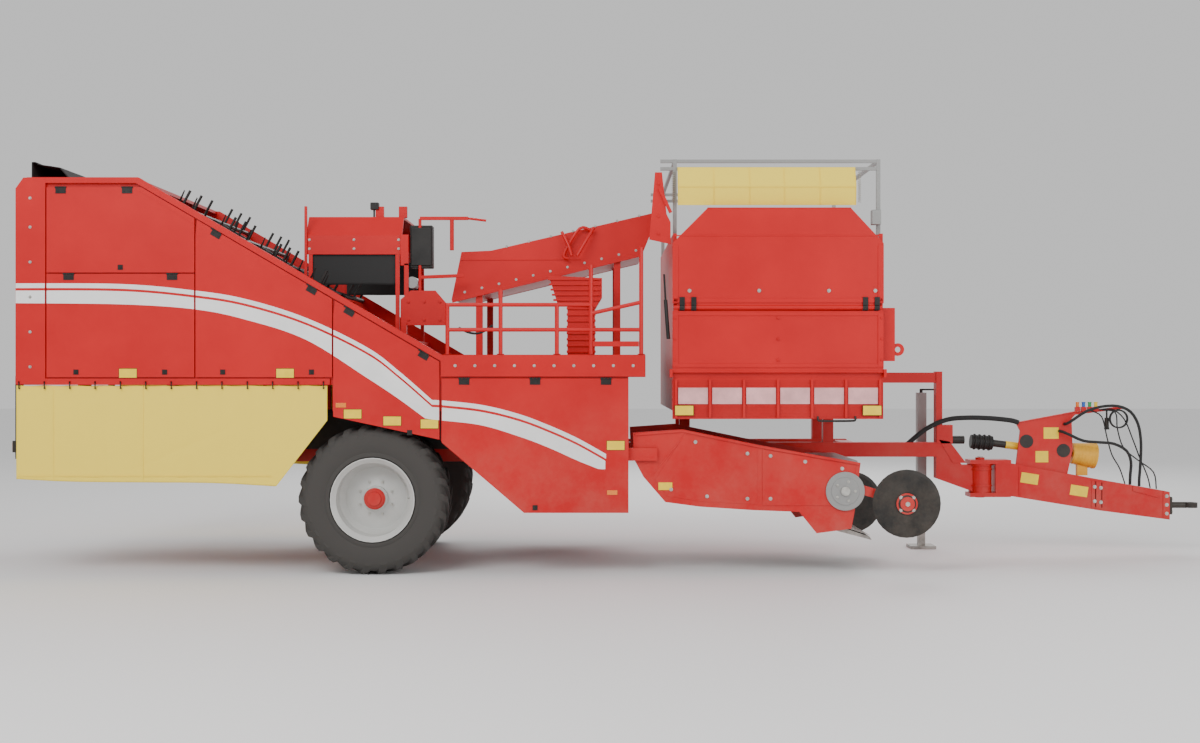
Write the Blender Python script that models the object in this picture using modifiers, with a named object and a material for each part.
"""Trailed two-row potato harvester. Metres, +X forward, +Y to the machine's left, +Z up."""

import math

import bmesh
import bpy
from mathutils import Matrix, Vector

# ---- driving dimensions ----------------------------------------------------
SEAT = 0.0003                # gap between pieces that touch
MOVE_GAP = 0.010             # gap between a door and its neighbour
SHEET = 0.030                # side wall thickness
DOOR = 0.025                 # side door thickness
BODY_HALF = 1.469            # outer face of the side walls
DOOR_FACE = 1.500            # outer face of the doors

REAR_X = -5.400              # rear edge of the body
FRONT_X = -0.130             # front edge of the side walls
TOP_Z = 3.430                # top of the body
SILL_Z = 1.645               # lower edge of the rear body
SLOPE_X = -4.344             # where the roof starts to slope down
SHOULDER_X = -1.740          # where the slope ends
SHOULDER_Z = 1.905           # height of the front part of the side walls
FRONT_LOW_Z = 0.545          # lower edge of the front side panel

WHEEL_X = -2.340
WHEEL_R = 0.650
TYRE_WIDTH = 0.600
TRACK_HALF = 1.155           # wheel centre to the machine's centre line
RIM_R = 0.365
AXLE = 0.130                 # axle beam section
HUB_R = 0.110

BEAM = 0.140                 # main frame beam section
BEAM_Z = 1.000               # main frame centre height

BUNKER_REAR_X = 0.249
BUNKER_FRONT_X = 2.065
BUNKER_TOP_Z = 3.165
BUNKER_LOW_Z = 1.420
BUNKER_FAR_Y = 1.450
DISCHARGE_HINGE_Z = 1.760
DISCHARGE_KNEE_Z = 2.312
DISCHARGE_Y = -1.470

STEER_X = 3.340
STEER_Y = 0.400
STEER_R = 0.045

LIFT_X = 0.060               # digging unit pivot
LIFT_Z = 1.050
DIGGER_RIGHT = -1.400
DIGGER_LEFT = 0.120
DISC_R = 0.295

JACK_X = 2.830
JACK_Y = 0.720

SLOPE = math.atan2(TOP_Z - SHOULDER_Z, SHOULDER_X - SLOPE_X)

RED = (0.72, 0.012, 0.014)
DARK_RED = (0.35, 0.02, 0.02)
BLACK = (0.012, 0.011, 0.010)
GREY = (0.30, 0.30, 0.29)
SILVER = (0.58, 0.58, 0.56)
STEEL = (0.42, 0.41, 0.40)
YELLOW = (0.95, 0.72, 0.08)
TYRE_BLACK = (0.05, 0.047, 0.043)


# ---- helpers ---------------------------------------------------------------
for old in list(bpy.data.objects):
    bpy.data.objects.remove(old)

parts = bpy.data.collections.new("potato_harvester")
cutters = bpy.data.collections.new("cutters")
bpy.context.scene.collection.children.link(parts)
bpy.context.scene.collection.children.link(cutters)


def paint(obj, colour, rough=0.45, metal=0.0):
    mat = bpy.data.materials.new(obj.name)
    mat.use_nodes = True
    shader = mat.node_tree.nodes["Principled BSDF"]
    shader.inputs["Base Color"].default_value = (*colour, 1)
    shader.inputs["Roughness"].default_value = rough
    shader.inputs["Metallic"].default_value = metal
    obj.data.materials.clear()
    obj.data.materials.append(mat)


def from_bmesh(bm, name="piece"):
    mesh = bpy.data.meshes.new(name)
    bm.to_mesh(mesh)
    bm.free()
    obj = bpy.data.objects.new(name, mesh)
    cutters.objects.link(obj)
    return obj


def box(x, y, z):
    """A box from its (low, high) pairs."""
    bm = bmesh.new()
    bmesh.ops.create_cube(bm, size=1)
    size = Vector((x[1] - x[0], y[1] - y[0], z[1] - z[0]))
    middle = Vector((x[0] + x[1], y[0] + y[1], z[0] + z[1])) / 2
    bmesh.ops.scale(bm, vec=size, verts=bm.verts)
    bmesh.ops.translate(bm, vec=middle, verts=bm.verts)
    return from_bmesh(bm)


def rod(start, end, radius, sides=12, end_radius=None):
    """A round bar or cone between two points."""
    start, end = Vector(start), Vector(end)
    turn = (end - start).to_track_quat("Z", "Y").to_matrix().to_4x4()
    place = Matrix.Translation((start + end) / 2) @ turn
    bm = bmesh.new()
    bmesh.ops.create_cone(bm, cap_ends=True, segments=sides, radius1=radius,
                          radius2=radius if end_radius is None else end_radius,
                          depth=(end - start).length, matrix=place)
    return from_bmesh(bm)


def bar(start, end, width, height):
    """A square bar between two points; height is measured upwards."""
    start, end = Vector(start), Vector(end)
    turn = (end - start).to_track_quat("X", "Z").to_matrix().to_4x4()
    bm = bmesh.new()
    bmesh.ops.create_cube(bm, size=1)
    bmesh.ops.scale(bm, vec=((end - start).length, width, height), verts=bm.verts)
    bmesh.ops.transform(bm, matrix=Matrix.Translation((start + end) / 2) @ turn, verts=bm.verts)
    return from_bmesh(bm)


def as_mesh(curve_obj):
    """Turns a curve object into a welded mesh object in the same place."""
    bpy.context.view_layer.update()
    seen = curve_obj.evaluated_get(bpy.context.evaluated_depsgraph_get())
    mesh = bpy.data.meshes.new_from_object(seen)
    bm = bmesh.new()
    bm.from_mesh(mesh)
    bmesh.ops.remove_doubles(bm, verts=bm.verts, dist=0.00005)
    bmesh.ops.transform(bm, matrix=curve_obj.matrix_world, verts=bm.verts)
    bmesh.ops.recalc_face_normals(bm, faces=bm.faces)
    bm.to_mesh(mesh)
    bm.free()
    obj = bpy.data.objects.new("piece", mesh)
    cutters.objects.link(obj)
    bpy.data.objects.remove(curve_obj)
    return obj


TURNS = {"XZ": (math.pi / 2, 0, 0), "YZ": (math.pi / 2, 0, math.pi / 2), "XY": (0, 0, 0)}


def slab(plane, outline, low, high):
    """A flat plate: outline in the named plane, between low and high across it."""
    curve = bpy.data.curves.new("outline", "CURVE")
    curve.dimensions = "2D"
    curve.fill_mode = "BOTH"
    curve.extrude = (high - low) / 2
    spline = curve.splines.new("POLY")
    spline.points.add(len(outline) - 1)
    for point, (a, b) in zip(spline.points, outline):
        point.co = (a, b, 0, 1)
    spline.use_cyclic_u = True
    obj = bpy.data.objects.new("outline", curve)
    cutters.objects.link(obj)
    middle = (low + high) / 2
    obj.location = {"XZ": (0, middle, 0), "YZ": (middle, 0, 0), "XY": (0, 0, middle)}[plane]
    obj.rotation_euler = TURNS[plane]
    return as_mesh(obj)


def tube(points, radius, resolution=2):
    """A bent round tube through the points, with closed ends."""
    curve = bpy.data.curves.new("tube", "CURVE")
    curve.dimensions = "3D"
    curve.bevel_depth = radius
    curve.bevel_resolution = resolution
    curve.use_fill_caps = True
    spline = curve.splines.new("POLY")
    spline.points.add(len(points) - 1)
    for point, place in zip(spline.points, points):
        point.co = (*place, 1)
    obj = bpy.data.objects.new("tube", curve)
    cutters.objects.link(obj)
    return as_mesh(obj)


def turned(profile, centre, steps=36):
    """A profile of (radius, offset along Y) points turned about the Y axis through centre.

    A profile that starts on the axis also ends there; any other is closed into a ring.
    """
    bm = bmesh.new()
    ring = [bm.verts.new((radius, 0, -offset)) for radius, offset in profile]
    following = ring[1:] if profile[0][0] == 0 else ring[1:] + ring[:1]
    for one, two in zip(ring, following):
        bm.edges.new((one, two))
    obj = from_bmesh(bm)
    screw = obj.modifiers.new("turn", "SCREW")
    screw.axis = "Z"
    screw.steps = steps
    screw.render_steps = steps
    screw.use_merge_vertices = True
    screw.merge_threshold = 0.0001
    screw.use_normal_calculate = True
    bpy.context.view_layer.update()
    seen = obj.evaluated_get(bpy.context.evaluated_depsgraph_get())
    mesh = bpy.data.meshes.new_from_object(seen)
    bpy.data.objects.remove(obj)
    bm = bmesh.new()
    bm.from_mesh(mesh)
    bmesh.ops.recalc_face_normals(bm, faces=bm.faces)
    bmesh.ops.transform(bm, matrix=Matrix.Rotation(math.pi / 2, 4, "X"), verts=bm.verts)
    bmesh.ops.translate(bm, vec=centre, verts=bm.verts)
    bm.to_mesh(mesh)
    bm.free()
    done = bpy.data.objects.new("piece", mesh)
    cutters.objects.link(done)
    return done


def combine(base, others, operation="UNION"):
    """Joins (or cuts) solids with exact Booleans and keeps one mesh."""
    for other in others:
        step = base.modifiers.new("join", "BOOLEAN")
        step.operation = operation
        step.solver = "EXACT"
        step.object = other
    bpy.context.view_layer.update()
    seen = base.evaluated_get(bpy.context.evaluated_depsgraph_get())
    mesh = bpy.data.meshes.new_from_object(seen)
    for old_piece in [base, *others]:
        bpy.data.objects.remove(old_piece)
    bm = bmesh.new()
    bm.from_mesh(mesh)
    bmesh.ops.remove_doubles(bm, verts=bm.verts, dist=0.00002)
    bmesh.ops.dissolve_degenerate(bm, edges=bm.edges, dist=0.00002)
    bm.to_mesh(mesh)
    bm.free()
    obj = bpy.data.objects.new("piece", mesh)
    cutters.objects.link(obj)
    return obj


def node(name, pieces, colour, rough=0.45, metal=0.0, origin=(0, 0, 0), smooth=False):
    """Makes one named part of the harvester, with its origin on its own axis."""
    pieces = pieces if isinstance(pieces, list) else [pieces]
    obj = combine(pieces[0], pieces[1:]) if len(pieces) > 1 else pieces[0]
    obj.data.transform(Matrix.Translation(-Vector(origin)))
    obj.location = origin
    obj.name = name
    obj.data.name = name
    cutters.objects.unlink(obj)
    parts.objects.link(obj)
    paint(obj, colour, rough, metal)
    if smooth:
        obj.data.shade_smooth()
        obj.data.set_sharp_from_angle(angle=math.radians(35))
    return obj


def arc(centre, radius, start, end, count):
    """Points on an arc, angles in degrees."""
    points = []
    for i in range(count + 1):
        angle = math.radians(start + (end - start) * i / count)
        points.append((centre[0] + radius * math.cos(angle), centre[1] + radius * math.sin(angle)))
    return points


def slope_z(x, drop=0.0):
    """Height of the sloping roof edge at x, less a drop measured square to it."""
    return TOP_Z - (x - SLOPE_X) * math.tan(SLOPE) - drop / math.cos(SLOPE)


def sides(low, high, side):
    """A pair of Y limits given outwards from the middle, for side -1 (right) or +1 (left)."""
    return (low, high) if side > 0 else (-high, -low)


# ---- chassis ---------------------------------------------------------------
INNER = BODY_HALF - SHEET - SEAT     # what meets the walls from inside ends here
LOW, HIGH = BEAM_Z - BEAM / 2, BEAM_Z + BEAM / 2
BEAM_IN, BEAM_OUT = STEER_Y - BEAM / 2, STEER_Y + BEAM / 2
FRAME_REAR = -4.900
FRAME_CROSS = -1.450
FRAME_FRONT = 2.150
OUTER_BEAM = 1.200

frame_pieces = [
    box((FRAME_REAR, 2.900), (BEAM_IN, BEAM_OUT), (LOW, HIGH)),
    box((FRAME_REAR, -0.200), (-BEAM_OUT, -BEAM_IN), (LOW, HIGH)),
    box((FRAME_CROSS, FRAME_FRONT), (OUTER_BEAM - BEAM / 2, OUTER_BEAM + BEAM / 2), (LOW, HIGH)),
    box((FRAME_FRONT - BEAM, FRAME_FRONT), (BEAM_IN + 0.01, OUTER_BEAM + 0.05), (LOW + 0.01, HIGH - 0.01)),
]
for cross_x in (FRAME_REAR, -3.300, FRAME_CROSS, -0.340):
    frame_pieces.append(box((cross_x + 0.01, cross_x + BEAM - 0.01), (-INNER, INNER), (LOW + 0.01, HIGH - 0.01)))
for post_x in (FRAME_REAR, -3.300):
    for side in (-1, 1):
        frame_pieces.append(box((post_x + 0.02, post_x + BEAM - 0.02),
                                sides(INNER - 0.060, INNER, side), (LOW + 0.02, SILL_Z + 0.250)))
frame_pieces.append(box((-0.250, LIFT_X + 0.060), (-INNER + 0.001, DIGGER_RIGHT - 0.0053), (LIFT_Z - 0.060, LIFT_Z + 0.050)))
node("main_frame", frame_pieces, RED)

axle_pieces = [box((WHEEL_X - AXLE / 2, WHEEL_X + AXLE / 2), (-0.780, 0.780),
                   (WHEEL_R - AXLE / 2, WHEEL_R + AXLE / 2))]
for side in (-1, 1):
    axle_pieces.append(box((WHEEL_X - 0.110, WHEEL_X + 0.110), sides(BEAM_IN + 0.01, BEAM_OUT - 0.01, side),
                           (WHEEL_R, LOW - SEAT)))
    axle_pieces.append(rod((WHEEL_X, side * 0.770, WHEEL_R), (WHEEL_X, side * (TRACK_HALF - 0.010), WHEEL_R), 0.050))
node("axle", axle_pieces, RED)

# ---- wheels ----------------------------------------------------------------
HALF_TYRE = TYRE_WIDTH / 2
BEAD = RIM_R - 0.030
SPINDLE_BORE = 0.0505
rim_profile = [
    (0, 0.130), (0.085, 0.130), (HUB_R, 0.105), (HUB_R, 0.050), (0.270, 0.020), (BEAD - 0.018, 0.070),
    (BEAD - 0.015, HALF_TYRE - 0.050), (RIM_R - 0.008, HALF_TYRE - 0.015), (RIM_R, HALF_TYRE - 0.015),
    (RIM_R, HALF_TYRE - 0.035), (BEAD, HALF_TYRE - 0.050), (BEAD, -HALF_TYRE + 0.050),
    (RIM_R, -HALF_TYRE + 0.035), (RIM_R, -HALF_TYRE + 0.015), (BEAD - 0.013, -HALF_TYRE + 0.045),
    (BEAD - 0.013, -0.010), (0.270, -0.010), (HUB_R, 0.010), (HUB_R, -0.160), (SPINDLE_BORE, -0.160),
    (SPINDLE_BORE, 0.0), (0, 0.0),
]
tyre_half = [
    (BEAD + 0.001, HALF_TYRE - 0.0515), (RIM_R + 0.001, HALF_TYRE - 0.0365), (RIM_R + 0.001, HALF_TYRE - 0.024),
    (0.410, HALF_TYRE - 0.010), (WHEEL_R - 0.130, HALF_TYRE), (WHEEL_R - 0.060, HALF_TYRE - 0.006),
    (WHEEL_R - 0.018, HALF_TYRE - 0.035), (WHEEL_R, HALF_TYRE - 0.090),
]
tyre_profile = tyre_half + [(radius, -offset) for radius, offset in reversed(tyre_half)]
for side, word in ((-1, "right"), (1, "left")):
    hub = (WHEEL_X, side * TRACK_HALF, WHEEL_R)
    node("rim_" + word, turned([(r, side * o) for r, o in rim_profile], hub, 40), SILVER, 0.4, 0.3, hub, True)
    node("tyre_" + word, turned(tyre_profile, hub, 40), TYRE_BLACK, 0.85, 0.0, hub, True)

# ---- side walls ------------------------------------------------------------
ARCH_Z = 1.420
wall_outline = [
    (REAR_X, SILL_Z), (REAR_X, TOP_Z - 0.090), (REAR_X + 0.065, TOP_Z), (SLOPE_X, TOP_Z),
    (SHOULDER_X, SHOULDER_Z), (0.017, SHOULDER_Z), (0.017, 1.712), (FRONT_X, 1.712), (FRONT_X, FRONT_LOW_Z),
    (-1.028, FRONT_LOW_Z), (-1.745, 1.165), (-1.745, ARCH_Z), (-2.677, ARCH_Z), (-2.677, SILL_Z),
]
DOOR_TOP = 1.700
DOOR_MID = 2.600
COLUMN_X = -5.130            # rear column, then the doors
DOOR_SPLIT = -3.860
DOOR_WHEEL = -2.677
DOOR_FRONT = -1.745
RAIL_DROP = 0.050            # flush rail along the slope above the doors


def door_slope(x):
    return slope_z(x, RAIL_DROP + MOVE_GAP)


for side, word in ((-1, "right"), (1, "left")):
    wall = slab("XZ", wall_outline, *sides(BODY_HALF - SHEET, BODY_HALF, side))
    flush = [sides(BODY_HALF - 0.010 - step * 0.001, DOOR_FACE - step * 0.001, side) for step in range(4)]
    rails = [
        slab("XZ", [(REAR_X + 0.004, SILL_Z + 0.004), (REAR_X + 0.004, TOP_Z - 0.097), (REAR_X + 0.071, TOP_Z - 0.004),
                    (COLUMN_X - MOVE_GAP, TOP_Z - 0.004), (COLUMN_X - MOVE_GAP, SILL_Z + 0.004)], *flush[0]),
        slab("XZ", [(REAR_X + 0.100, TOP_Z - RAIL_DROP), (REAR_X + 0.100, TOP_Z - 0.001), (SLOPE_X, TOP_Z - 0.001),
                    (SHOULDER_X + 0.020, slope_z(SHOULDER_X + 0.020, 0.001)),
                    (SHOULDER_X + 0.020, slope_z(SHOULDER_X + 0.020, RAIL_DROP)),
                    (SLOPE_X - 0.020, TOP_Z - RAIL_DROP)], *flush[1]),
        slab("XZ", [(COLUMN_X - 0.050, SILL_Z + 0.001), (COLUMN_X - 0.050, DOOR_TOP), (DOOR_WHEEL - 0.020, DOOR_TOP),
                    (DOOR_WHEEL - 0.020, SILL_Z + 0.001)], *flush[2]),
        slab("XZ", [(SHOULDER_X - 0.004, 1.717), (SHOULDER_X - 0.004, SHOULDER_Z - 0.004), (0.013, SHOULDER_Z - 0.004),
                    (0.013, 1.717)], *flush[3]),
    ]
    node("side_wall_" + word, [wall, *rails], RED)

# ---- side doors: each hangs from its upper edge -----------------------------
DOOR_LOW = DOOR_TOP + MOVE_GAP
fold_x = SLOPE_X + 0.030
CORNER_WIDE, CORNER_TALL = 0.014, 0.140


def sloping_door(rear_x, rear_low, front_x, front_low):
    """A door below the slope, with its top rear corner cut so that it clears the next door as it turns."""
    return [(rear_x, door_slope(rear_x) - CORNER_TALL), (rear_x, rear_low), (front_x, front_low),
            (front_x, door_slope(front_x)), (rear_x + CORNER_WIDE, door_slope(rear_x + CORNER_WIDE))]


door_outlines = {
    "rear_upper": [(COLUMN_X, DOOR_MID + MOVE_GAP), (DOOR_SPLIT, DOOR_MID + MOVE_GAP), (DOOR_SPLIT, door_slope(DOOR_SPLIT)),
                   (fold_x, door_slope(fold_x)), (COLUMN_X, door_slope(fold_x))],
    "rear_lower": [(COLUMN_X, DOOR_LOW), (DOOR_SPLIT, DOOR_LOW), (DOOR_SPLIT, DOOR_MID), (COLUMN_X, DOOR_MID)],
    "middle": sloping_door(DOOR_SPLIT + MOVE_GAP, DOOR_LOW, DOOR_WHEEL, DOOR_LOW),
    "wheel": sloping_door(DOOR_WHEEL + MOVE_GAP, 1.372, DOOR_FRONT - MOVE_GAP, 1.175),
    "front": [(-1.735, 1.150), (-1.028, FRONT_LOW_Z), (FRONT_X, FRONT_LOW_Z), (FRONT_X, DOOR_TOP), (-1.735, DOOR_TOP)],
}
PAD_INSET, PAD_HEIGHT = 0.080, 0.014      # hinge strip on the inside of each door
for side, word in ((-1, "right"), (1, "left")):
    for label, outline in door_outlines.items():
        hinge_x, hinge_z = outline[-1]
        lean = (outline[-2][1] - hinge_z) / (outline[-2][0] - hinge_x)
        pad = [(x, hinge_z + (x - hinge_x) * lean - drop) for x, drop in
               ((hinge_x + PAD_INSET, 0.001), (outline[-2][0] - PAD_INSET, 0.001),
                (outline[-2][0] - PAD_INSET, PAD_HEIGHT), (hinge_x + PAD_INSET, PAD_HEIGHT))]
        node("%s_%s_door" % (word, label),
             [slab("XZ", outline, *sides(DOOR_FACE - DOOR, DOOR_FACE, side)),
              slab("XZ", pad, *sides(BODY_HALF + SEAT, DOOR_FACE - DOOR + 0.005, side))], RED,
             origin=(hinge_x, side * DOOR_FACE, hinge_z))

# ---- rear, roof and conveyors ----------------------------------------------
rear_pieces = [
    box((REAR_X, REAR_X + SHEET), (-INNER, INNER), (2.250, TOP_Z - 0.100)),
    box((REAR_X, REAR_X + 0.080), (-INNER, INNER), (SILL_Z, SILL_Z + 0.090)),
]
for side in (-1, 1):
    rear_pieces.append(box((REAR_X + 0.002, REAR_X + 0.060), sides(INNER - 0.080, INNER - 0.001, side), (SILL_Z + 0.05, 2.300)))
node("rear_wall", rear_pieces, RED)

LAMP_X = REAR_X - 0.060
lamp_pieces = [box((LAMP_X, LAMP_X + 0.0597), (-1.330, -1.290), (1.000, 1.720)),
               box((LAMP_X + 0.001, LAMP_X + 0.055), (-1.400, -1.000), (1.060, 1.160)),
               box((LAMP_X, LAMP_X + 0.0597), (1.290, 1.330), (1.000, 1.720)),
               box((LAMP_X + 0.001, LAMP_X + 0.055), (1.000, 1.400), (1.060, 1.160)),
               box((LAMP_X + 0.010, LAMP_X + 0.050), (-1.320, 1.320), (1.010, 1.050))]
node("lamp_bar", lamp_pieces, BLACK)

node("top_cover", box((REAR_X + 0.070, SLOPE_X - 0.030), (-INNER, INNER), (TOP_Z - 0.030, TOP_Z)), RED)
flap = [(-5.330, TOP_Z + SEAT), (-5.330, 3.594), (-5.300, 3.594), (-5.270, 3.570), (-5.080, 3.545), (-4.980, TOP_Z + SEAT),
        (-5.010, TOP_Z + SEAT), (-5.100, 3.520), (-5.290, 3.545), (-5.300, TOP_Z + SEAT)]
node("rear_flap", slab("XZ", flap, -1.300, 1.300), BLACK, 0.8)


def belt_outline(start, end, thick):
    """A conveyor loop seen from the side: two round ends joined by straight runs."""
    angle = math.degrees(math.atan2(end[1] - start[1], end[0] - start[0]))
    return arc(end, thick / 2, angle - 90, angle + 90, 6) + arc(start, thick / 2, angle + 90, angle + 270, 6)


WEB_HALF = 1.340
INCLINE_LOW = (-1.800, 1.560)
INCLINE_HIGH = (-4.500, 3.060)
node("incline_web", [slab("XZ", belt_outline(INCLINE_LOW, INCLINE_HIGH, 0.240), -WEB_HALF, WEB_HALF),
                     rod((INCLINE_LOW[0], -INNER, INCLINE_LOW[1]), (INCLINE_LOW[0], INNER, INCLINE_LOW[1]), 0.030),
                     rod((INCLINE_HIGH[0], -INNER, INCLINE_HIGH[1]), (INCLINE_HIGH[0], INNER, INCLINE_HIGH[1]), 0.030)],
     BLACK, 0.7)
CLEAN_LOW = (-0.250, 1.220)
CLEAN_HIGH = (-1.650, 1.350)
node("cleaning_web", [slab("XZ", belt_outline(CLEAN_LOW, CLEAN_HIGH, 0.160), -WEB_HALF, WEB_HALF),
                      rod((CLEAN_HIGH[0] + 0.1, -INNER, CLEAN_HIGH[1]), (CLEAN_HIGH[0] + 0.1, INNER, CLEAN_HIGH[1]), 0.030)],
     BLACK, 0.7)
for side, word in ((-1, "right"), (1, "left")):
    node("inner_wall_" + word, box((-3.280, CLEAN_HIGH[0] - 0.090), sides(0.780, 0.800, side), (HIGH - 0.010 + SEAT, 1.380)), BLACK)

comb_pieces = []
for comb_x in (-4.050, -3.650, -3.250, -2.850):
    z = slope_z(comb_x)
    comb_pieces.append(rod((comb_x, -INNER, z - 0.060), (comb_x, INNER, z - 0.060), 0.022, 8))
comb_pieces.append(bar((-4.100, 0, slope_z(-4.100) - 0.060), (-2.800, 0, slope_z(-2.800) - 0.060), 0.060, 0.024))
for comb_x in (-4.050, -3.650, -3.250, -2.850):
    for comb_y in (-1.200, -0.800, -0.400, 0.400, 0.800, 1.200):
        z = slope_z(comb_x)
        comb_pieces.append(rod((comb_x, comb_y, z - 0.060), (comb_x + 0.080, comb_y, z + 0.090), 0.012, 6))
node("haulm_combs", comb_pieces, BLACK, 0.6)

for side, word in ((-1, "right"), (1, "left")):
    node("curtain_" + word, slab("XZ", [(-5.395, SILL_Z + 0.001 - SEAT), (-5.395, 0.830), (-4.300, 0.800), (-3.110, 0.760),
                                        (-2.720, 1.340), (-2.720, SILL_Z + 0.001 - SEAT)], *sides(1.476, 1.490, side)), YELLOW, 0.8)

# ---- picking station -------------------------------------------------------
HOOD_X = (-2.992, -2.138)
HOOD_HALF = 1.000
HOOD_LOW, HOOD_FOLD, HOOD_TOP = 2.803, 2.971, 3.150
hood_outer = [(-HOOD_HALF, HOOD_LOW), (-HOOD_HALF, HOOD_FOLD), (-HOOD_HALF + 0.150, HOOD_TOP)]
hood_inner = [(-HOOD_HALF + 0.020, HOOD_LOW), (-HOOD_HALF + 0.020, HOOD_FOLD - 0.006), (-HOOD_HALF + 0.160, HOOD_TOP - 0.020)]
hood_ring = hood_outer + [(-y, z) for y, z in reversed(hood_outer)] + [(-y, z) for y, z in hood_inner] + list(reversed(hood_inner))
node("picking_hood", slab("YZ", hood_ring, *HOOD_X), RED)
for side, word in ((-1, "right"), (1, "left")):
    node("hood_rubber_" + word, box((HOOD_X[0] + 0.050, HOOD_X[1] - 0.050), sides(HOOD_HALF - 0.028, HOOD_HALF - 0.020 - SEAT, side),
                                    (2.530, HOOD_LOW + 0.060)), BLACK, 0.8)
hood_frame = []
for bar_x, bar_z in ((HOOD_X[0] + 0.020, 2.420), (HOOD_X[1] - 0.060, 2.000)):
    hood_frame.append(box((bar_x, bar_x + 0.040), (-INNER, INNER), (bar_z, bar_z + 0.060)))
    for side in (-1, 1):
        hood_frame.append(box((bar_x + 0.002, bar_x + 0.038), sides(HOOD_HALF - 0.018, HOOD_HALF - 0.002, side),
                              (bar_z + 0.010, HOOD_LOW - SEAT)))
for side in (-1, 1):
    hood_frame.append(bar((HOOD_X[0] + 0.040, side * (INNER - 0.040), 2.450), (HOOD_X[1] - 0.040, side * (INNER - 0.040), 2.030), 0.050, 0.040))
node("hood_frame", hood_frame, RED)
# ---- platform, elevator and chute ------------------------------------------
DECK_Z = 1.840
node("platform_deck", box((-1.690, 0.010), (-INNER, INNER), (DECK_Z - 0.040, DECK_Z)), RED)
trough_side = [(-1.720, 2.412), (-1.630, 2.843), (-1.362, 2.855), (0.160, 3.208), (0.006, 2.832)]
trough_floor = [(-1.716, 2.416), (-1.700, 2.470), (0.030, 2.890), (0.008, 2.836)]
TROUGH_HALF = 0.750
trough = [slab("XZ", trough_floor, -TROUGH_HALF + 0.002, TROUGH_HALF - 0.002)]
for side in (-1, 1):
    trough.append(slab("XZ", trough_side, *sides(TROUGH_HALF - 0.020, TROUGH_HALF, side)))
    for leg_x in (-1.500, -0.250):
        trough.append(box((leg_x, leg_x + 0.060), sides(TROUGH_HALF - 0.070, TROUGH_HALF - 0.010, side),
                          (DECK_Z + SEAT, 2.460 + (leg_x + 1.720) * 0.243)))
node("elevator_trough", trough, RED)
node("ribbed_chute", [slab("XZ", [(-0.830, 2.610), (-0.755, 2.370), (-0.410, 2.330), (-0.357, 2.420), (-0.357, 2.590), (-0.384, 2.590)],
                           -1.050, -0.800),
                      box((-0.665, -0.420), (-1.020, -0.830), (DECK_Z + SEAT, 2.400))], DARK_RED)
RAIL_Y = BODY_HALF - SHEET / 2
RAIL_R = 0.017
railing = [rod((-1.700, -RAIL_Y, 2.335), (-0.440, -RAIL_Y, 2.335), RAIL_R, 8),
           rod((-1.700, -RAIL_Y, 2.120), (-0.020, -RAIL_Y, 2.120), RAIL_R, 8),
           rod((-0.453, -RAIL_Y, 2.260), (-0.010, -RAIL_Y, 2.360), RAIL_R, 8)]
for post_x, post_z in ((-1.690, 2.345), (-1.232, 2.467), (-0.747, 2.347), (-0.453, 2.680), (-0.020, 2.830)):
    railing.append(rod((post_x, -RAIL_Y, SHOULDER_Z + SEAT), (post_x, -RAIL_Y, post_z), RAIL_R + 0.001, 8))
node("platform_railing", railing, RED)

# ---- bunker ----------------------------------------------------------------
PANEL_GAP = 0.006
KNEE_R = 0.022
SHELL_NEAR = DISCHARGE_Y + KNEE_R + PANEL_GAP
SHELL_TOP = 2.950
shell = box((BUNKER_REAR_X + 0.008, BUNKER_FRONT_X), (SHELL_NEAR, BUNKER_FAR_Y), (BUNKER_LOW_Z, SHELL_TOP))
hollow = box((BUNKER_REAR_X + 0.008 + SHEET, BUNKER_FRONT_X - SHEET), (SHELL_NEAR + SHEET, BUNKER_FAR_Y - SHEET),
             (BUNKER_LOW_Z + SHEET, SHELL_TOP + 0.200))
near_mouth = box((BUNKER_REAR_X + 0.009 + SHEET, BUNKER_FRONT_X - SHEET - 0.001), (SHELL_NEAR - 0.100, SHELL_NEAR + 0.100),
                 (DISCHARGE_HINGE_Z, SHELL_TOP + 0.200))
shell = combine(shell, [hollow], "DIFFERENCE")
shell = combine(shell, [near_mouth], "DIFFERENCE")
shell_extra = []
for ear_x in (BUNKER_REAR_X - 0.024, BUNKER_FRONT_X + SEAT):
    shell_extra.append(box((ear_x, ear_x + 0.0237), (DISCHARGE_Y - 0.030, SHELL_NEAR + 0.030),
                           (DISCHARGE_HINGE_Z - 0.050, DISCHARGE_HINGE_Z + 0.020)))
    shell_extra.append(box((min(ear_x + 0.001, BUNKER_FRONT_X - 0.020), max(ear_x + 0.0227, BUNKER_REAR_X + 0.020)),
                           (SHELL_NEAR + 0.001, SHELL_NEAR + 0.029), (DISCHARGE_HINGE_Z - 0.049, DISCHARGE_HINGE_Z + 0.019)))
FOOT_TOP = BUNKER_LOW_Z + 0.010
for foot_x in (0.400, 1.800):
    for foot_y in (STEER_Y, OUTER_BEAM):
        shell_extra.append(box((foot_x, foot_x + 0.100), (foot_y - 0.050, foot_y + 0.050), (HIGH + SEAT, FOOT_TOP)))
node("bunker_shell", [shell, *shell_extra], RED)

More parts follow.
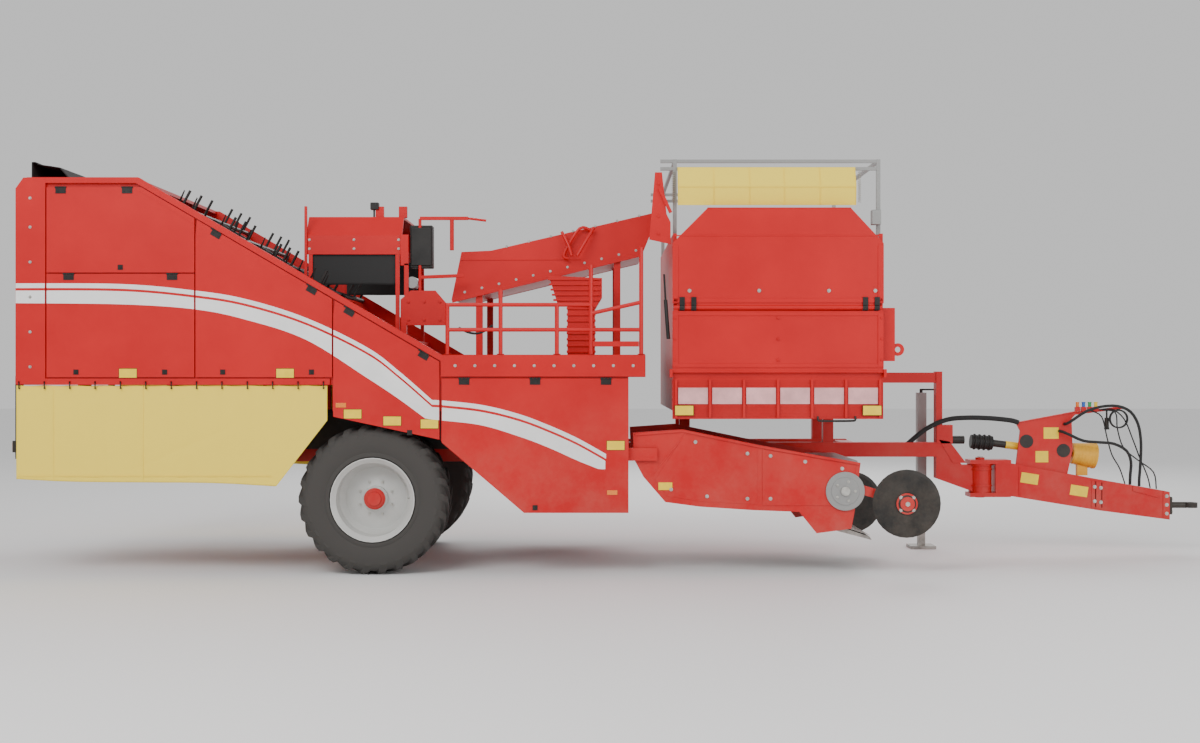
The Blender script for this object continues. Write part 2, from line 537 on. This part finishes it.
PANEL_X = (BUNKER_REAR_X, BUNKER_FRONT_X)
PANEL_Y = (DISCHARGE_Y - 0.015, DISCHARGE_Y + 0.015)
TUBE_X = (BUNKER_REAR_X + 0.050, BUNKER_FRONT_X - 0.050)
lower = [box(PANEL_X, PANEL_Y, (DISCHARGE_HINGE_Z + 0.030, DISCHARGE_KNEE_Z - KNEE_R - 0.010)),
         box((PANEL_X[0] + 0.001, PANEL_X[1] - 0.001), (DISCHARGE_Y - 0.010, DISCHARGE_Y + 0.010),
             (DISCHARGE_HINGE_Z, DISCHARGE_HINGE_Z + 0.050)),
         rod((PANEL_X[0], DISCHARGE_Y, DISCHARGE_HINGE_Z), (PANEL_X[1], DISCHARGE_Y, DISCHARGE_HINGE_Z), 0.014, 10)]
for ear in ((PANEL_X[0] + 0.010, TUBE_X[0] - SEAT), (TUBE_X[1] + SEAT, PANEL_X[1] - 0.010)):
    lower.append(rod((ear[0], DISCHARGE_Y, DISCHARGE_KNEE_Z), (ear[1], DISCHARGE_Y, DISCHARGE_KNEE_Z), KNEE_R, 12))
    lower.append(box((ear[0] + 0.001, ear[1] - 0.001), (DISCHARGE_Y - 0.010, DISCHARGE_Y + 0.010),
                     (DISCHARGE_KNEE_Z - KNEE_R - 0.030, DISCHARGE_KNEE_Z)))
node("discharge_lower", lower, RED, origin=(PANEL_X[0], DISCHARGE_Y, DISCHARGE_HINGE_Z))
UPPER_LOW = DISCHARGE_KNEE_Z + KNEE_R + 0.012
upper_outline = [(PANEL_X[0], UPPER_LOW), (PANEL_X[1], UPPER_LOW), (PANEL_X[1], 2.864), (PANEL_X[1] - 0.280, BUNKER_TOP_Z),
                 (PANEL_X[0] + 0.300, BUNKER_TOP_Z), (PANEL_X[0], 2.864)]
upper = [slab("XZ", upper_outline, *PANEL_Y),
         box((TUBE_X[0] + 0.001, TUBE_X[1] - 0.001), (DISCHARGE_Y - 0.010, DISCHARGE_Y + 0.010), (DISCHARGE_KNEE_Z, UPPER_LOW + 0.020)),
         rod((TUBE_X[0], DISCHARGE_Y, DISCHARGE_KNEE_Z), (TUBE_X[1], DISCHARGE_Y, DISCHARGE_KNEE_Z), KNEE_R, 12)]
node("discharge_upper", upper, RED, origin=(TUBE_X[0], DISCHARGE_Y, DISCHARGE_KNEE_Z))

GUARD_FACE = SHELL_NEAR - SEAT
guard = [box(PANEL_X, (GUARD_FACE - 0.020, GUARD_FACE), (1.351, DISCHARGE_HINGE_Z - 0.060))]
for index in range(7):
    rib_x = PANEL_X[0] + 0.020 + index * (PANEL_X[1] - PANEL_X[0] - 0.060) / 6
    guard.append(box((rib_x, rib_x + 0.020), (GUARD_FACE - 0.045, GUARD_FACE - 0.010), (1.360, DISCHARGE_HINGE_Z - 0.070)))
node("ribbed_guard", guard, RED)

TOP_RAIL_Z = 3.605
top_frame = []
for side in (-1, 1):
    for post_x in (BUNKER_REAR_X + 0.010, BUNKER_FRONT_X - 0.036):
        top_frame.append(box((post_x, post_x + 0.034), sides(1.300, 1.334, side), (SHELL_TOP + SEAT, TOP_RAIL_Z)))
    for rail_z in (TOP_RAIL_Z - 0.030, TOP_RAIL_Z - 0.095):
        top_frame.append(box((0.150, BUNKER_FRONT_X - 0.005), sides(1.302, 1.332, side), (rail_z, rail_z + 0.028)))
    top_frame.append(box((BUNKER_REAR_X + 0.012, BUNKER_REAR_X + 0.040), sides(-1.310, 0.001, side), (TOP_RAIL_Z - 0.032, TOP_RAIL_Z - 0.004)))
    top_frame.append(box((BUNKER_FRONT_X - 0.034, BUNKER_FRONT_X - 0.006), sides(-1.310, 0.001, side), (TOP_RAIL_Z - 0.032, TOP_RAIL_Z - 0.004)))
node("bunker_top_frame", top_frame, GREY)
node("bunker_hood", slab("YZ", [(-1.3323, 3.350), (-1.3323, 3.534), (-1.3500, 3.534), (-1.4200, 3.360), (-1.4000, 3.200), (-1.3870, 3.205), (-1.4050, 3.352)],
                         0.300, 1.840), YELLOW)
LIFT_EYE = (BUNKER_FRONT_X + 0.140, 1.950)
lift_eye = rod((LIFT_EYE[0], -1.385, LIFT_EYE[1]), (LIFT_EYE[0], -1.365, LIFT_EYE[1]), 0.055, 20)
lift_eye = combine(lift_eye, [rod((LIFT_EYE[0], -1.500, LIFT_EYE[1]), (LIFT_EYE[0], -1.200, LIFT_EYE[1]), 0.025, 16)], "DIFFERENCE")
node("front_post", [box((BUNKER_FRONT_X + SEAT, BUNKER_FRONT_X + 0.110), (-1.410, -1.340), (1.850, 2.310)), lift_eye], RED)

# ---- digging unit ----------------------------------------------------------
plate_outline = [(-0.090, 1.230), (-0.080, 1.000), (0.000, 0.850), (0.190, 0.630), (0.490, 0.590), (0.950, 0.560), (1.350, 0.545),
                 (1.500, 0.360), (1.800, 0.400), (1.830, 0.560), (1.880, 0.970), (1.360, 1.060), (1.020, 1.120), (0.340, 1.260)]
PLATE = 0.020
digger = []
for low, high in ((DIGGER_RIGHT, DIGGER_RIGHT + PLATE), (DIGGER_LEFT - PLATE, DIGGER_LEFT)):
    digger.append(slab("XZ", plate_outline, low, high))
digger.append(rod((LIFT_X, DIGGER_RIGHT - 0.005, LIFT_Z), (LIFT_X, BEAM_IN - SEAT, LIFT_Z), 0.045))
digger.append(box((1.700, 1.840), (DIGGER_RIGHT + 0.001, DIGGER_LEFT - 0.001), (0.860, 0.960)))
digger.append(box((0.500, 0.580), (DIGGER_RIGHT + 0.001, DIGGER_LEFT - 0.001), (1.080, 1.160)))
DISCS = {"right": (2.270, DIGGER_RIGHT - 0.045, 0.620), "left": (2.050, DIGGER_LEFT + 0.085, 0.500)}
for word, (disc_x, disc_y, disc_z) in DISCS.items():
    plate_y = (DIGGER_RIGHT + PLATE / 2) if word == "right" else (DIGGER_LEFT - PLATE / 2)
    out = -1 if word == "right" else 1
    digger.append(bar((1.740, plate_y, 0.780), (disc_x + 0.030, plate_y, disc_z), 0.018, 0.080))
    digger.append(rod((disc_x, plate_y, disc_z), (disc_x, disc_y - out * 0.0203, disc_z), 0.030))
node("digger_frame", digger, RED, origin=(LIFT_X, 0, LIFT_Z))
WEB_START, WEB_END = (1.400, 0.640), (0.260, 0.900)
node("digging_web", [slab("XZ", belt_outline(WEB_START, WEB_END, 0.200), DIGGER_RIGHT + 0.060, DIGGER_LEFT - 0.060),
                     rod((WEB_END[0], DIGGER_RIGHT + PLATE + SEAT, WEB_END[1]), (WEB_END[0], DIGGER_LEFT - PLATE - SEAT, WEB_END[1]), 0.030)],
     STEEL, 0.6, origin=(LIFT_X, 0, LIFT_Z))
node("digging_share", slab("XZ", [(1.520, 0.420), (1.540, 0.470), (1.960, 0.330), (1.980, 0.300)],
                           DIGGER_RIGHT + PLATE + SEAT, DIGGER_LEFT - PLATE - SEAT), STEEL, 0.5, origin=(LIFT_X, 0, LIFT_Z))
for word, centre in DISCS.items():
    out = -1 if word == "right" else 1
    profile = [(0, out * 0.035), (0.060, out * 0.035), (0.085, out * 0.020), (0.100, out * 0.004), (DISC_R - 0.030, out * 0.004),
               (DISC_R, 0), (DISC_R - 0.030, -out * 0.004), (0.060, -out * 0.004), (0.060, -out * 0.020), (0, -out * 0.020)]
    node("disc_" + word, turned(profile, centre, 32), BLACK, 0.5, 0.4, centre, True)

# ---- jack ------------------------------------------------------------------
JACK_HALF = 0.045
LEG_HALF = 0.0345
tube_box = box((JACK_X - JACK_HALF, JACK_X + JACK_HALF), (JACK_Y - JACK_HALF, JACK_Y + JACK_HALF), (0.500, 1.550))
tube_hole = box((JACK_X - LEG_HALF - 0.0005, JACK_X + LEG_HALF + 0.0005), (JACK_Y - LEG_HALF - 0.0005, JACK_Y + LEG_HALF + 0.0005),
                (0.400, 1.530))
tube_cut = combine(tube_box, [tube_hole], "DIFFERENCE")
node("jack_tube", [tube_cut, box((JACK_X - 0.040, JACK_X + 0.040), (BEAM_OUT + SEAT, JACK_Y - JACK_HALF + 0.005), (LOW + 0.010, HIGH - 0.010))],
     GREY)
node("jack_leg", [box((JACK_X - LEG_HALF, JACK_X + LEG_HALF), (JACK_Y - LEG_HALF, JACK_Y + LEG_HALF), (0.010, 1.100)),
                  box((JACK_X - 0.125, JACK_X + 0.125), (JACK_Y - 0.125, JACK_Y + 0.125), (0, 0.030))], STEEL, 0.4, 0.6)

# ---- front frame and drawbar -----------------------------------------------
PIN_LOW, PIN_HIGH = 0.580, 0.860
FORK = 0.040
boss = rod((STEER_X, STEER_Y, PIN_LOW), (STEER_X, STEER_Y, PIN_HIGH), 0.110, 24)
neck = slab("XZ", [(2.9003, 0.720), (2.9003, HIGH), (3.000, HIGH - 0.020), (3.150, PIN_HIGH - 0.010),
                    (3.260, PIN_HIGH - 0.010), (3.260, PIN_LOW + 0.010)],
            STEER_Y - 0.065, STEER_Y + 0.065)
upright = [box((2.9003, 2.960), (STEER_Y - 0.060, STEER_Y + 0.060), (HIGH - 0.040, 1.760)),
           box((BUNKER_FRONT_X + SEAT, 2.950), (STEER_Y - 0.050, STEER_Y + 0.050), (1.650, 1.750)),
           box((2.9053, 3.060), (STEER_Y - 0.070, STEER_Y + 0.070), (1.060, 1.240))]
front = combine(boss, [neck, *upright])
front = combine(front, [rod((STEER_X, STEER_Y, PIN_LOW - 0.1), (STEER_X, STEER_Y, PIN_HIGH + 0.1), STEER_R + 0.0006, 24)], "DIFFERENCE")
node("front_frame", front, RED)


def beam_top(x):
    return 0.880 + (x - 3.550) * (0.710 - 0.880) / (4.476 - 3.550)


fork = [slab("XZ", [(3.550, 0.560), (4.476, 0.410), (5.161, 0.320), (5.161, 0.590), (4.476, 0.710), (3.550, 0.880)], STEER_Y - 0.100, STEER_Y + 0.100),
        box((3.470, 3.620), (STEER_Y - 0.105, STEER_Y + 0.105), (PIN_LOW - FORK + 0.001, PIN_HIGH + FORK - 0.001)),
        box((3.220, 3.610), (STEER_Y - 0.110, STEER_Y + 0.110), (PIN_HIGH + SEAT, PIN_HIGH + FORK)),
        box((3.220, 3.610), (STEER_Y - 0.110, STEER_Y + 0.110), (PIN_LOW - FORK, PIN_LOW - SEAT)),
        rod((STEER_X, STEER_Y, PIN_LOW - 0.050), (STEER_X, STEER_Y, PIN_HIGH + 0.060), STEER_R, 24)]
STEER = (STEER_X, STEER_Y, 0)
node("drawbar_beam", fork, RED, origin=STEER)
EYE_RING = (5.400, STEER_Y, 0.455)
eye = [box((5.1613, 5.190), (STEER_Y - 0.090, STEER_Y + 0.090), (0.370, 0.540)),
       rod((5.185, STEER_Y, EYE_RING[2]), (5.360, STEER_Y, EYE_RING[2]), 0.030),
       rod((EYE_RING[0], STEER_Y, EYE_RING[2] - 0.025), (EYE_RING[0], STEER_Y, EYE_RING[2] + 0.025), 0.065, 24)]
eye = combine(eye[0], eye[1:])
eye = combine(eye, [rod((EYE_RING[0], STEER_Y, EYE_RING[2] - 0.1), (EYE_RING[0], STEER_Y, EYE_RING[2] + 0.1), 0.028, 24)], "DIFFERENCE")
node("towing_eye", eye, BLACK, origin=STEER)
MAST_Y = (STEER_Y - 0.060, STEER_Y - 0.030)
mast = [slab("XZ", [(3.680, beam_top(3.680) + SEAT), (4.180, beam_top(4.180) + SEAT), (4.230, 1.000), (4.220, 1.300), (4.280, 1.370),
                    (3.680, 1.260), (3.720, 1.180)], *MAST_Y),
        rod((4.240, STEER_Y - 0.045, 1.350), (4.730, STEER_Y - 0.045, 1.410), 0.014, 8)]
node("hose_mast", mast, RED, origin=STEER)
PTO_Y = STEER_Y + 0.050
node("pto_guard", [rod((4.250, PTO_Y, 0.960), (4.480, PTO_Y, 0.9309), 0.100, 20, 0.125),
                   box((4.300, 4.400), (PTO_Y - 0.030, PTO_Y + 0.030), (0.7427 + SEAT, 0.900))], YELLOW, origin=STEER)
node("pto_shaft", [rod((3.460, PTO_Y, 1.060), (4.2497, PTO_Y, 0.96004), 0.035, 12),
                   rod((3.260, PTO_Y, 1.075), (3.470, PTO_Y, 1.059), 0.065, 16)], BLACK, 0.6, origin=STEER)
node("pto_rear_shaft", rod((3.060 + SEAT, PTO_Y, 1.090), (3.195, PTO_Y, 1.090), 0.040, 12), BLACK, 0.6)


# ---- hoses -----------------------------------------------------------------
HOSE_R = 0.014
MAST_FACE = MAST_Y[0] - 2 * SEAT
HOSE_ROUTES = {
    "feed_hose": [(4.150, MAST_FACE, 1.250), (4.150, 0.325, 1.250), (4.150, 0.305, 1.250), (4.168, 0.270, 1.262), (4.215, 0.235, 1.300), (4.330, 0.230, 1.375),
                  (4.480, 0.240, 1.420), (4.640, 0.250, 1.425), (4.770, 0.270, 1.370), (4.850, 0.290, 1.250),
                  (4.880, 0.300, 1.100), (4.885, 0.310, 0.950), (4.882, 0.330, 0.800), (4.880, 0.345, 0.710),
                  (4.880, 0.347, 0.643)],
    "return_hose": [(4.100, MAST_FACE, 1.180), (4.100, 0.325, 1.180), (4.100, 0.305, 1.180), (4.116, 0.270, 1.174), (4.165, 0.235, 1.150), (4.300, 0.225, 1.090),
                    (4.450, 0.225, 1.075), (4.600, 0.235, 1.060), (4.730, 0.260, 0.990), (4.785, 0.300, 0.880),
                    (4.790, 0.335, 0.760), (4.790, 0.347, 0.659)],
}


def smooth_route(points, steps=3):
    """Points read from a smooth curve that passes through the route's own points."""
    ends = [points[0], *points, points[-1]]
    route = []
    for before, start, end, after in zip(ends, ends[1:], ends[2:], ends[3:]):
        before, start, end, after = map(Vector, (before, start, end, after))
        for step in range(steps):
            t = step / steps
            route.append((2 * start + (end - before) * t + (2 * before - 5 * start + 4 * end - after) * t ** 2
                          + (3 * start - before - 3 * end + after) * t ** 3) / 2)
    route.append(Vector(points[-1]))
    return route


for name, points in HOSE_ROUTES.items():
    node(name, tube(smooth_route(points), HOSE_R), BLACK, 0.6, origin=STEER)
